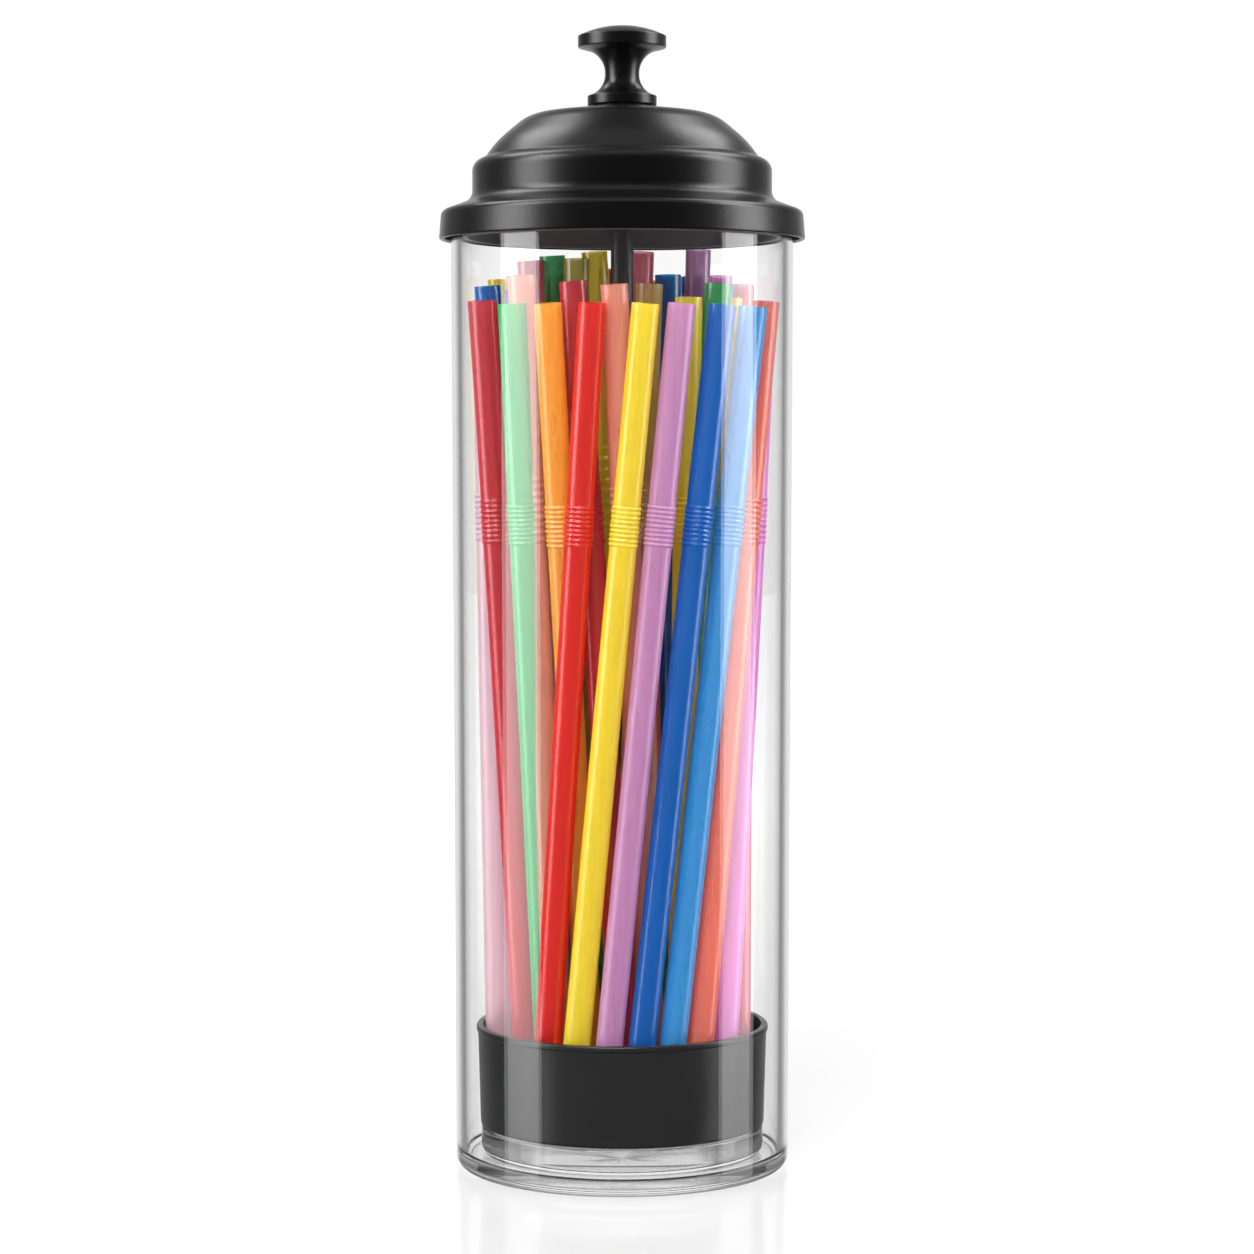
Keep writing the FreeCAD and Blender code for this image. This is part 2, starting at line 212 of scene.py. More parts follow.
class FinishSettings(bpy.types.PropertyGroup):
    acrylic: tint("Acrylic", "Tint of the clear jar", "#fefefe")
    # Painted shade: this grey darkens the clear jar where it is seen edge on.
    acrylic_edge: tint("Acrylic Edge", "Tint of the clear jar where it is seen edge on", "#7c7e80")
    coat: tint("Coating", "Powder coat on the lid", "#050506")
    enamel: tint("Enamel", "Enamel on the knob", "#050506")
    cup: tint("Cup", "Moulded plastic of the cup", "#181819")
    # Painted light: the ring's colour is a mid grey, paler than its real plastic, to make up for the lid's
    # shade.
    ring: tint("Ring", "Moulded plastic of the ring in the jar's mouth", "#737376")
    rod: tint("Rod", "Blackened steel of the rod", "#363638")
    zinc: tint("Zinc", "Plated steel of the nut, washers and screw", "#b9bcc0")


class StageSettings(bpy.types.PropertyGroup):
    camera_distance: length("Camera Distance", "From the camera to the jar's axis", 810.0)
    camera_height: length("Camera Height", "Height of the camera above the surface", 179.2)
    camera_side: length("Camera Offset", "How far the camera is right of the axis", 1.2)
    camera_pitch: degrees("Camera Pitch", "How far the camera looks down", 3.197)
    focal_pixels: number("Focal Length", "Focal length in pixels of the photograph", 3272.0)
    strip_distance: length("Strip Distance", "From the jar's axis to each strip light", 750.0)
    strip_height: length("Strip Height", "Height of each strip light", 1100.0)
    strip_left: degrees("Left Strip", "Azimuth of the left strip light from the front", -71.9)
    strip_right: degrees("Right Strip", "Azimuth of the right strip light from the front", 85.2)
    strip_spread: degrees("Strip Spread", "Angle that a strip light fills as seen from the jar", 28.8)
    strip_level: number("Strip Level", "Brightness of each strip light, high up", 5.0)
    strip_low_level: number("Low Level", "Brightness of each strip light, at its foot", 2.1)
    floor_gloss: share("Floor Gloss", "How much the lacquer on the table reflects", 0.2)
    floor_lift: number("Floor Lift", "What the table adds to its colour for the camera", 0.4)
    far_lift: number("Far Lift", "What it adds further off, where the lamps are weaker", 0.64)
    top_level: number("Top Level", "Brightness of the overhead light", 0.5)
    front_level: number("Front Level", "Brightness of the light at the front", 8.0)
    ambient_level: number("Ambient Level", "Brightness of the room", 1.2)
    dark_level: share("Dark Side", "How bright the room behind the camera looks in a reflection", 0.03)
    back_level: share("Back Side", "How bright the far side of the room looks in a reflection", 0.3)
    window_level: share("Window", "How much brighter the middle of that far side looks", 0.65)
    made_up: share("Made Up", "What the background gains behind the jar, for what its faces reflect", 0.12)
    panel_level: number("Panel Level", "Brightness of the two panels high up at the back", 5.4)


class DispenserSettings(bpy.types.PropertyGroup):
    jar: PointerProperty(type=JarSettings)
    lid: PointerProperty(type=LidSettings)
    knob: PointerProperty(type=KnobSettings)
    cup: PointerProperty(type=CupSettings)
    rod: PointerProperty(type=RodSettings)
    straws: PointerProperty(type=StrawSettings)
    straw_colours: PointerProperty(type=StrawColours)
    finish: PointerProperty(type=FinishSettings)
    stage: PointerProperty(type=StageSettings)


def settings():
    return bpy.context.scene.straw_dispenser


def add(tree, kind, inputs=None, **values):
    """Adds a node. An input takes a value, a socket, or a node, which stands for its first output.

    A kind with no prefix is a shader node's.
    """
    node = tree.nodes.new(kind if "Node" in kind else f"ShaderNode{kind}")
    for name, value in values.items():
        setattr(node, name, value)
    for name, value in (inputs or {}).items():
        if isinstance(value, bpy.types.Node):
            value = value.outputs[0]
        if isinstance(value, bpy.types.NodeSocket):
            tree.links.new(value, node.inputs[name])
        else:
            node.inputs[name].default_value = value
    return node


def new_material(name):
    """An empty material and its node tree."""
    material = bpy.data.materials.new(name)
    material.use_nodes = True
    material.node_tree.nodes.clear()
    return material, material.node_tree


def rgba(colour):
    return (*colour, 1)


def grain(tree, size, detail=2.0):
    """Noise whose grains are about a size across, on the piece's own coordinates."""
    place = add(tree, "TexCoord")
    return add(tree, "TexNoise", {"Vector": place.outputs["Object"], "Scale": 1 / size, "Detail": detail})


# Each opaque finish: the setting of its colour, its roughness and how much that varies, the width and height
# of its grain in millimetres, and how metallic it is.
FINISHES = {
    # Powder coat on spun metal: satin, with an orange peel that spreads each highlight. The peel is drawn
    # coarser than a real one, so that it can show.
    "powder_coat_satin_black": ("coat", 0.30, 0.03, 0.45, 0.03, 0.0),
    # Stoving enamel on a turned knob: as satin as the coat, with less peel, so its highlights are cleaner.
    "stoving_enamel_black": ("enamel", 0.31, 0.03, 0.6, 0.004, 0.0),
    # ABS from a polished mould: even and satin.
    "moulded_abs_black": ("cup", 0.30, 0.04, 0.7, 0.002, 0.0),
    # Polypropylene: softer than the cup. Its colour is painted a mid grey, paler than the real plastic, as
    # painted light against the lid's shade, in which it looks almost black.
    "moulded_polypropylene_black": ("ring", 0.42, 0.04, 0.7, 0.008, 0.0),
    # Steel blackened in hot oxide: dark grey, with a soft sheen along its length.
    "black_oxide_steel": ("rod", 0.40, 0.04, 0.5, 0.004, 0.0),
    # Zinc-plated steel: pale grey metal, slightly uneven.
    "zinc_plated_steel": ("zinc", 0.32, 0.07, 0.35, 0.006, 1.0),
}
PATCH_SIZE = 14 * mm
# The values of the noise that give the least and the most, in a finish's patches and in a straw's streaks.
PATCH_RANGE, STREAK_RANGE = (0.1, 0.9), (0.3, 0.7)
# How sharply the acrylic's painted edge shade and a straw's sheen come up where a surface is seen edge on.
EDGE_POWER = 5.0


@functools.cache
def finish(name):
    """An opaque finish. Its roughness varies in broad patches, and its fine grain stands up."""
    colour, roughness, unevenness, grain_size, bump, metallic = FINISHES[name]
    material, tree = new_material(name)
    rough = add(tree, "MapRange", {
        "Value": grain(tree, PATCH_SIZE), "From Min": PATCH_RANGE[0], "From Max": PATCH_RANGE[1],
        "To Min": roughness - unevenness, "To Max": roughness + unevenness,
    })
    raised = add(tree, "Bump", {"Height": grain(tree, grain_size * mm), "Distance": bump * mm})
    body = add(tree, "BsdfPrincipled", {
        "Base Color": rgba(getattr(settings().finish, colour)), "Metallic": metallic,
        "Roughness": rough, "Normal": raised,
    })
    add(tree, "OutputMaterial", {"Surface": body})
    return material


@functools.cache
def clear_acrylic():
    """Moulded acrylic, polished: painted shade greys its tint towards its edges, and lamps shine straight
    through it.

    Its faces swell very slightly, as moulded ones do.
    """
    swell_size, swell_height = 30 * mm, 0.005 * mm
    light_passed = 0.97
    material, tree = new_material("moulded_acrylic_clear")
    path = add(tree, "LightPath")
    slant = add(tree, "LayerWeight", {"Blend": 0.5})
    # Painted shade: the tint turns grey where the surface is seen edge on.
    edge = add(tree, "Math", {0: slant.outputs["Facing"], 1: EDGE_POWER}, operation="POWER")
    colour = add(tree, "Mix", {
        "Factor": edge, "A": rgba(settings().finish.acrylic), "B": rgba(settings().finish.acrylic_edge),
    }, data_type="RGBA")
    wavy = add(tree, "Bump", {"Height": grain(tree, swell_size, 1.0), "Distance": swell_height})
    bulk = add(tree, "BsdfPrincipled", {
        "Base Color": colour.outputs["Result"], "Roughness": 0.0, "IOR": 1.49, "Transmission Weight": 1.0,
        "Normal": wavy,
    })
    open_way = add(tree, "BsdfTransparent", {"Color": rgba((light_passed,) * 3)})
    mixed = add(tree, "MixShader", {0: path.outputs["Is Shadow Ray"], 1: bulk, 2: open_way})
    add(tree, "OutputMaterial", {"Surface": mixed})
    return material


@functools.cache
def straw_film(name):
    """Thin extruded polypropylene, dyed: each face of the wall scatters some light and tints the rest.

    The wall looks more solid where it is seen at a slant, and faint streaks run along it from the extruder.
    """
    streak_width, streak_length, streak_strength = 1.5 * mm, 40 * mm, 0.03
    dye_depth, back_share, least_cosine = 0.18, 0.4, 0.3
    head_on_sheen, edge_sheen = 0.07, 0.5
    colour = tuple(getattr(settings().straw_colours, name))
    passed_colour = tuple(c ** dye_depth for c in colour)
    material, tree = new_material(f"extruded_polypropylene_{name}")
    place = add(tree, "TexCoord")
    stretched = add(tree, "Mapping", {
        "Vector": place.outputs["Object"], "Scale": (1 / streak_width, 1 / streak_width, 1 / streak_length),
    })
    streaks = add(tree, "TexNoise", {"Vector": stretched, "Scale": 1.0, "Detail": 1.0})
    passing = 1 - settings().straws.film
    open_share = add(tree, "MapRange", {
        "Value": streaks, "From Min": STREAK_RANGE[0], "From Max": STREAK_RANGE[1],
        "To Min": passing + streak_strength, "To Max": passing - streak_strength,
    })
    slant = add(tree, "LayerWeight", {"Blend": 0.5})
    cosine = add(tree, "Math", {0: 1.0, 1: slant.outputs["Facing"]}, operation="SUBTRACT")
    least = add(tree, "Math", {0: cosine, 1: least_cosine}, operation="MAXIMUM")
    depth = add(tree, "Math", {0: 1.0, 1: least}, operation="DIVIDE")
    through = add(tree, "Math", {0: open_share, 1: depth}, operation="POWER")
    front = add(tree, "BsdfDiffuse", {"Color": rgba(colour)})
    back = add(tree, "BsdfTranslucent", {"Color": rgba(colour)})
    scattered = add(tree, "MixShader", {0: back_share, 1: front, 2: back})
    passed = add(tree, "BsdfTransparent", {"Color": rgba(passed_colour)})
    film = add(tree, "MixShader", {0: through, 1: scattered, 2: passed})
    grazing = add(tree, "Math", {0: slant.outputs["Facing"], 1: EDGE_POWER}, operation="POWER")
    sheen = add(tree, "Math", {0: grazing, 1: edge_sheen, 2: head_on_sheen}, operation="MULTIPLY_ADD")
    gloss = add(tree, "BsdfAnisotropic", {"Color": (1, 1, 1, 1), "Roughness": 0.2})
    whole = add(tree, "MixShader", {0: sheen, 1: film, 2: gloss})
    add(tree, "OutputMaterial", {"Surface": whole})
    return material


# The largest turn between two points of a rounded corner.
ARC_STEP = math.radians(5)
# Edges that bend by more than this stay sharp, on a turned piece and on a straw.
SHARP_CORNER, SHARP_END = math.radians(40), math.radians(80)
# Faces round the jar and its clear disc, the lid, ring and cup, the knob and washers, and the rod.
JAR_SEGMENTS, LID_SEGMENTS, KNOB_SEGMENTS, ROD_SEGMENTS = 384, 256, 160, 64


def rounding_points(before, here, after, radius):
    """Points along the arc that rounds a corner."""
    back, ahead = (before - here).normalized(), (after - here).normalized()
    half = back.angle(ahead) / 2
    reach = radius / math.tan(half)
    centre = here + (back + ahead).normalized() * (radius / math.sin(half))
    start, end = here + back * reach - centre, here + ahead * reach - centre
    steps = max(math.ceil((math.pi - 2 * half) / ARC_STEP), 2)
    turn = start.angle_signed(end) / steps
    return [centre + Matrix.Rotation(-turn * i, 2) @ start for i in range(steps + 1)]


def outline(corners):
    """The points of an outline, from (radius, height, rounding) corners."""
    places = [Vector((x, z)) for x, z, _ in corners]
    points = []
    for i, (_, _, rounding) in enumerate(corners):
        if rounding:
            points += rounding_points(places[i - 1], places[i], places[(i + 1) % len(places)], rounding)
        else:
            points.append(places[i])
    return points


def new_tree(name, defaults):
    """A geometry tree with a mesh, sizes and a material as its inputs, and their identifiers by name."""
    tree = bpy.data.node_groups.new(name, "GeometryNodeTree")
    identifiers = {}
    for given, default in {"Geometry": None, **defaults, "Material": None}.items():
        kind = {int: "Int", float: "Float"}.get(type(default), given)
        socket = tree.interface.new_socket(given, in_out="INPUT", socket_type=f"NodeSocket{kind}")
        if default is not None:
            socket.default_value = default
        identifiers[given] = socket.identifier
    tree.interface.new_socket("Geometry", in_out="OUTPUT", socket_type="NodeSocketGeometry")
    return tree, identifiers


def finish_tree(tree, mesh, material, sharp_angle):
    """Shades a tree's mesh smooth between its sharp edges, and ends the tree."""
    bend = add(tree, "GeometryNodeInputMeshEdgeAngle").outputs["Unsigned Angle"]
    sharp = add(tree, "FunctionNodeCompare", {0: bend, 1: sharp_angle}, operation="GREATER_THAN")
    smooth = add(tree, "GeometryNodeSetShadeSmooth", {"Geometry": mesh})
    edges = add(tree, "GeometryNodeSetShadeSmooth", {
        "Geometry": smooth, "Selection": sharp, "Shade Smooth": False,
    }, domain="EDGE")
    real = add(tree, "GeometryNodeRealizeInstances", {"Geometry": edges})
    painted = add(tree, "GeometryNodeSetMaterial", {"Geometry": real, "Material": material})
    add(tree, "NodeGroupOutput", {"Geometry": painted})


@functools.cache
def turned_tree():
    """Sweeps a profile, drawn as (radius, 0, height), round the Z axis."""
    tree, names = new_tree("Turned Piece", {"Segments": KNOB_SEGMENTS, "Sharp Angle": SHARP_CORNER})
    given = add(tree, "NodeGroupInput").outputs
    path_radius = 0.1
    curve = add(tree, "GeometryNodeMeshToCurve", {"Mesh": given["Geometry"]})
    place = add(tree, "GeometryNodeInputPosition")
    parts = add(tree, "SeparateXYZ", {"Vector": place.outputs["Position"]})
    out = add(tree, "Math", {0: parts.outputs["X"], 1: path_radius}, operation="SUBTRACT")
    down = add(tree, "Math", {0: parts.outputs["Z"], 1: -1.0}, operation="MULTIPLY")
    flat = add(tree, "CombineXYZ", {"X": out, "Y": down})
    profile = add(tree, "GeometryNodeSetPosition", {"Geometry": curve, "Position": flat})
    path = add(tree, "GeometryNodeCurvePrimitiveCircle", {
        "Resolution": given["Segments"], "Radius": path_radius,
    })
    swept = add(tree, "GeometryNodeCurveToMesh", {"Curve": path, "Profile Curve": profile})
    closed = add(tree, "GeometryNodeMergeByDistance", {"Geometry": swept, "Distance": micron})
    finish_tree(tree, closed, given["Material"], given["Sharp Angle"])
    return tree, names


@functools.cache
def straw_tree():
    """A straw up the Z axis: a plain long end, a ribbed neck and a plain short end."""
    points_a_rib = 8.0
    tree, names = new_tree("Bendy Straw", {
        "Radius": 3.25 * mm, "Neck Foot": 142.1 * mm, "Neck Length": 9.9 * mm, "Length": 200 * mm,
        "Ribs": 9, "Rib Height": 0.32 * mm, "Sides": 32,
    })
    given = add(tree, "NodeGroupInput").outputs
    neck_top = add(tree, "Math", {0: given["Neck Foot"], 1: given["Neck Length"]})
    levels = 0.0, given["Neck Foot"], neck_top, given["Length"]
    heights = [add(tree, "CombineXYZ", {"Z": z}) for z in levels]
    lines = [add(tree, "GeometryNodeCurvePrimitiveLine", {"Start": low, "End": high})
             for low, high in zip(heights, heights[1:])]
    samples = add(tree, "Math", {0: given["Ribs"], 1: points_a_rib, 2: 1.0}, operation="MULTIPLY_ADD")
    neck = add(tree, "GeometryNodeResampleCurve", {"Curve": lines[1], "Count": samples})
    joined = add(tree, "GeometryNodeJoinGeometry")
    for line in (lines[0], neck, lines[2]):
        tree.links.new(line.outputs["Curve"], joined.inputs["Geometry"])
    place = add(tree, "GeometryNodeInputPosition")
    height = add(tree, "SeparateXYZ", {"Vector": place.outputs["Position"]}).outputs["Z"]
    turns = add(tree, "MapRange", {
        "Value": height, "From Min": given["Neck Foot"], "From Max": neck_top,
        "To Min": 0.0, "To Max": given["Ribs"],
    })
    phase = add(tree, "Math", {0: turns, 1: 2 * math.pi}, operation="MULTIPLY")
    wave = add(tree, "Math", {0: phase}, operation="COSINE")
    raised = add(tree, "Math", {0: wave, 1: -0.5, 2: 0.5}, operation="MULTIPLY_ADD")
    ribbed = {0: raised, 1: given["Rib Height"], 2: given["Radius"]}
    width = add(tree, "Math", ribbed, operation="MULTIPLY_ADD")
    ring = add(tree, "GeometryNodeCurvePrimitiveCircle", {"Resolution": given["Sides"], "Radius": 1.0})
    tube = add(tree, "GeometryNodeCurveToMesh", {"Curve": joined, "Profile Curve": ring, "Scale": width})
    closed = add(tree, "GeometryNodeMergeByDistance", {"Geometry": tube, "Distance": micron})
    finish_tree(tree, closed, given["Material"], SHARP_END)
    return tree, names


def place_object(name, data):
    """A new object in the scene, at the origin."""
    thing = bpy.data.objects.new(name, data)
    bpy.context.scene.collection.objects.link(thing)
    return thing


def shape(name, mesh, tree, names, values, wall=None):
    """Runs a mesh through a node tree, gives it a wall if it has one, and returns a plain object."""
    source = place_object(name, mesh)
    nodes = source.modifiers.new("shape", "NODES")
    nodes.node_group = tree
    for given, value in values.items():
        nodes[names[given]] = value
    if wall:
        solid = source.modifiers.new("wall", "SOLIDIFY")
        solid.thickness = wall
        solid.offset = -1
    source.modifiers.new("even_shading", "WEIGHTED_NORMAL").keep_sharp = True
    evaluated = source.evaluated_get(bpy.context.evaluated_depsgraph_get())
    result = bpy.data.meshes.new_from_object(evaluated)
    bpy.data.objects.remove(source)
    return place_object(name, result)


def turned(name, corners, material, segments=KNOB_SEGMENTS):
    """A turned piece from the corners of its profile, in order with the solid on the right.

    A profile that meets the axis starts with its two corners there.
    """
    points = outline(corners)
    edges = [(i, i + 1) for i in range(len(points) - 1)]
    if points[0].x == points[1].x == 0:
        points = points[1:] + points[:1]
    else:
        edges.append((len(points) - 1, 0))
    mesh = bpy.data.meshes.new(f"{name}_profile")
    mesh.from_pydata([(p.x, 0, p.y) for p in points], edges, [])
    tree, names = turned_tree()
    return shape(name, mesh, tree, names, {
        "Segments": segments, "Sharp Angle": SHARP_CORNER, "Material": material,
    })


def box_of(node):
    """Radius, foot and head of a turned node, from its box."""
    low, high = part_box(node)
    return (high.y - low.y) / 2, low.z, high.z


def seat(piece, body, slot, *nodes):
    """Puts a piece on its body, in the place of the nodes that it stands for."""
    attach(piece, body)
    if nodes:
        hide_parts(*nodes)


class DISPENSER_OT_jar(bpy.types.Operator):
    """Moulds the clear jar and the clear disc under the cup"""
    bl_idname = "dispenser.jar"
    bl_label = "Clear Jar"

    def execute(self, context):
        jar = settings().jar
        radius, _, height = box_of("jar")
        foot = radius - jar.draft
        wall = jar.wall
        piece = turned("jar_moulded", [
            (0, 0, 0),
            (0, jar.floor, 0),
            (foot - wall, jar.floor, jar.floor_round),
            (radius - wall, height, jar.edge_round),
            (radius, height, jar.edge_round),
            (foot, 0, jar.foot_round),
        ], clear_acrylic(), JAR_SEGMENTS)
        seat(piece, "jar", "clear_acrylic", "jar")
        radius, low, high = box_of("clear_riser")
        piece = turned("clear_disc", [
            (0, low, 0),
            (0, high, 0),
            (radius, high, jar.edge_round),
            (radius, low, jar.riser_round),
        ], clear_acrylic(), JAR_SEGMENTS)
        seat(piece, "jar", "clear_acrylic", "clear_riser")
        return {"FINISHED"}


def sheet_section(skin, sheet, hem_height, bead):
    """The closed section of a spun sheet with a folded edge, from its outer skin's corners, centre first."""
    lines = []
    for (x0, z0, _), (x1, z1, _) in zip(skin, skin[1:]):
        along = Vector((x1 - x0, z1 - z0)).normalized()
        lines.append((Vector((x0, z0)) + Vector((along.y, -along.x)) * sheet, along))
    inner = [(*lines[0][0], 0)]
    for (p, a), (q, b), (_, _, rounding) in zip(lines, lines[1:], skin[1:]):
        turn = a.x * b.y - a.y * b.x
        step = ((q.x - p.x) * b.y - (q.y - p.y) * b.x) / turn
        inner.append((*(p + a * step), rounding - sheet if turn < 0 else rounding + sheet))
    edge = Vector(skin[-1][:2])
    along = lines[-1][1]
    across = Vector((along.y, -along.x)) * sheet
    up = along * -hem_height
    fold = [(*(edge + across * 2), bead), (*(edge + across * 2 + up), 0), (*(edge + across + up), 0)]
    return skin + fold + inner[::-1]


class DISPENSER_OT_lid(bpy.types.Operator):
    """Spins the stepped lid with its hemmed rim, and moulds the ring under it"""
    bl_idname = "dispenser.lid"
    bl_label = "Spun Lid"

    def execute(self, context):
        lid, rod = settings().lid, settings().rod
        radius, low, high = box_of("lid_shell")
        rim_r, rim_z = radius - lid.rim_flare, low + lid.rim_height
        drum_r = rim_r - lid.ledge_width - lid.cove_width
        slope = lid.ledge_rise / lid.ledge_width
        shoulder_z = rim_z + lid.ledge_rise + lid.drum_height
        dome_r, dome_z = drum_r - lid.shoulder_width, shoulder_z + lid.shoulder_rise
        skin = [
            (rod.stud_radius + rod.fit, high, 0),
            (lid.seat_width, high, lid.seat_round),
            (lid.crown_width, high - lid.crown_drop, lid.crown_round),
            (dome_r - lid.side_lean, dome_z + lid.side_height, lid.side_round),
            (dome_r, dome_z, lid.valley_round),
            (drum_r, shoulder_z, lid.shoulder_round),
            (drum_r, rim_z + (rim_r - drum_r) * slope, lid.cove_round),
            (rim_r, rim_z, lid.rim_round),
            (radius, low, lid.hem_bead),
        ]
        section = sheet_section(skin, lid.sheet, lid.hem_height, lid.hem_bead)
        piece = turned("lid_spun", section, finish("powder_coat_satin_black"), LID_SEGMENTS)
        seat(piece, "lid", "black_powder_coat", "lid_shell")
        self.mould_ring(lid, rim_z, rim_r, slope)
        return {"FINISHED"}

    def mould_ring(self, lid, rim_z, rim_r, slope):
        """The ring: a flange on the jar's edge, and a skirt down into its mouth."""
        flange, low, high = box_of("lid_ring")
        jar_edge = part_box("jar")[1].z
        skirt = box_of("jar")[0] - settings().jar.wall - lid.ring_gap
        opening = skirt - lid.ring_wall
        edge_z = high - (flange - opening - lid.ring_flat) * slope
        soft = lid.ring_round
        piece = turned("mouth_ring", [
            (opening, low, soft),
            (opening, high, soft),
            (opening + lid.ring_flat, high, 0),
            (flange, edge_z, soft),
            (flange, jar_edge, soft),
            (skirt, jar_edge, 0),
            (skirt, low, soft),
        ], finish("moulded_polypropylene_black"), LID_SEGMENTS)
        seat(piece, "ring", "black_plastic", "lid_ring")


class DISPENSER_OT_knob(bpy.types.Operator):
    """Turns the knob and the washers on the stud"""
    bl_idname = "dispenser.knob"
    bl_label = "Turned Knob"

    def execute(self, context):
        knob, rod = settings().knob, settings().rod
        cap_r, base, top = box_of("knob")
        hole = rod.stud_radius + rod.fit
        band_top = top - knob.cap_dome
        band_bottom = band_top - knob.cap_band
        flange_top = base + knob.flange_band
        bore_top = base + knob.bore_depth
        soft = knob.edge_round
        piece = turned("knob_turned", [
            (0, bore_top, 0),
            (0, top, 0),
            (cap_r / 2, top, knob.cap_dome_round),
            (cap_r, band_top, soft),
            (cap_r, band_bottom, soft),
            (knob.neck_radius, band_bottom - knob.cap_underside, knob.cap_cove),
            (knob.neck_radius, flange_top + knob.flange_slope, knob.flange_cove),
            (knob.flange_radius, flange_top, soft),
            (knob.flange_radius, base, soft),
            (hole, base, 0),
            (hole, bore_top, 0),
        ], finish("stoving_enamel_black"))
        seat(piece, "lid", "black_powder_coat", "knob")
        for place, slot, steel, bore in (
            ("knob", "dark_rod_finish", "black_oxide_steel", hole),
            ("lid", "zinc_steel", "zinc_plated_steel", hole),
            ("cup", "zinc_steel", "zinc_plated_steel", rod.screw_radius + rod.fit),
        ):
            self.press_washer(f"{place}_washer", f"washer_{place}", slot, finish(steel), bore)
        for node in ("lid_nut", "cup_screw"):
            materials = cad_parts[node].data.materials
            materials.clear()
            materials.append(finish("zinc_plated_steel"))
        return {"FINISHED"}

    def press_washer(self, node, name, slot, material, bore):
        """A washer with its edges broken."""
        radius, low, high = box_of(node)
        soft = settings().knob.washer_round
        piece = turned(name, [
            (bore, low, soft),
            (bore, high, soft),
            (radius, high, soft),
            (radius, low, soft),
        ], material)
        seat(piece, "lid", slot, node)


class DISPENSER_OT_cup(bpy.types.Operator):
    """Moulds the cup, whose boss holds the rod's foot"""
    bl_idname = "dispenser.cup"
    bl_label = "Straw Cup"

    def execute(self, context):
        cup, rod = settings().cup, settings().rod
        lip_r, base, top = box_of("cup")
        side = lip_r - cup.lip_out
        foot = side - cup.taper
        floor = base + cup.floor
        boss_top = floor + cup.boss_height
        rod_foot = boss_top - cup.socket_depth
        washer_seat = rod_foot - cup.web
        recess = box_of("cup_washer")[0] + cup.recess_gap
        shaft, screw = rod.radius + rod.fit, rod.screw_radius + rod.fit
        lip_low = top - cup.lip_height
        soft = cup.edge_round
        piece = turned("straw_cup", [
            (recess, base, soft),
            (recess, washer_seat, 0),
            (screw, washer_seat, 0),
            (screw, rod_foot, 0),
            (shaft, rod_foot, 0),
            (shaft, boss_top, soft),
            (cup.boss_radius, boss_top, soft),
            (cup.boss_radius, floor, cup.inner_round),
            (foot - cup.wall, floor, cup.inner_round),
            (side - cup.wall, top, soft),
            (lip_r, top, cup.lip_round),
            (lip_r, lip_low, soft),
            (side, lip_low - cup.lip_out, soft),
            (foot, base, cup.foot_round),
        ], finish("moulded_abs_black"), LID_SEGMENTS)
        seat(piece, "lid", "black_plastic", "cup")
        return {"FINISHED"}


class DISPENSER_OT_rod(bpy.types.Operator):
    """Turns the rod, with its stud and its chamfers"""
    bl_idname = "dispenser.rod"
    bl_label = "Lifting Rod"

    def execute(self, context):
        rod = settings().rod
        _, foot, top = box_of("rod")
        shoulder = top - rod.stud_length
        hole = rod.screw_radius + rod.fit
        cut = rod.chamfer
        hole_top = foot + rod.screw_reach
        piece = turned("lifting_rod", [
            (0, hole_top, 0),
            (0, top, 0),
            (rod.stud_radius - cut, top, 0),
            (rod.stud_radius, top - cut, 0),
            (rod.stud_radius, shoulder, 0),
            (rod.radius - cut / 2, shoulder, 0),
            (rod.radius, shoulder - cut / 2, 0),
            (rod.radius, foot + cut, 0),
            (rod.radius - cut, foot, 0),
            (hole, foot, 0),
            (hole, hole_top, 0),
        ], finish("black_oxide_steel"), ROD_SEGMENTS)
        seat(piece, "lid", "dark_rod_finish", "rod")
        return {"FINISHED"}


# The inner straws, which CAD leaves out. Azimuths are in degrees from the front, positive to the right.
# A share is 0 on the jar's axis, and 1 against the jar's wall at the top or the cup's wall at the foot.
# The last value is how far the neck has been pulled open, in millimetres.
INNER_STRAWS = [
    # colour, top azimuth, top share, foot azimuth, foot share, pull
    ("sky", -90, 0.74, -112, 0.60, 4.0),
    ("blush", -58, 0.76, -84, 0.50, 6.0),
    ("peach", -44, 0.74, -26, 0.60, 6.5),
    ("crimson", -29, 0.76, 4, 0.60, 5.0),
    ("peach", -6, 0.72, 62, 0.62, 4.0),
    ("khaki", 29, 0.74, 8, 0.40, 5.0),
    ("yellow", 42, 0.76, 30, 0.62, 1.5),
    ("mint", 56, 0.76, 50, 0.36, 5.0),
    ("yellow", 84, 0.76, 84, 0.66, 2.0),
    ("sky", 108, 0.76, 104, 0.60, 6.0),
    ("lilac", 136, 0.78, 128, 0.62, 15.0),
    ("peach", 160, 0.76, 156, 0.60, 7.0),
    ("red", -174, 0.78, 176, 0.60, 10.5),
    ("mint", -126, 0.76, -160, 0.62, 13.0),
    ("rose", -109, 0.74, -132, 0.60, 11.5),
    ("yellow", -150, 0.50, 140, 0.36, 14.0),
    ("rose", 162, 0.50, -160, 0.36, 14.5),
    ("blue", 118, 0.36, 100, 0.36, 8.0),
    ("olive", -128, 0.52, -104, 0.36, 12.0),
]
SETTLING_ROUNDS = 400
# Shades that only a straw or two has, with the record's slot that is nearest to each.
NEAREST_SLOT = {"peach": "salmon", "blush": "lilac", "khaki": "yellow", "olive": "yellow"}
# A straw whose shade in the photograph is paler than its node's name says.
PALER = {"straw_21_lilac": "blush"}


def polar(azimuth, radius, height):
    """A point at an azimuth in degrees from the front, positive to the right."""
    angle = math.radians(azimuth)
    return Vector((radius * math.sin(angle), -radius * math.cos(angle), height))


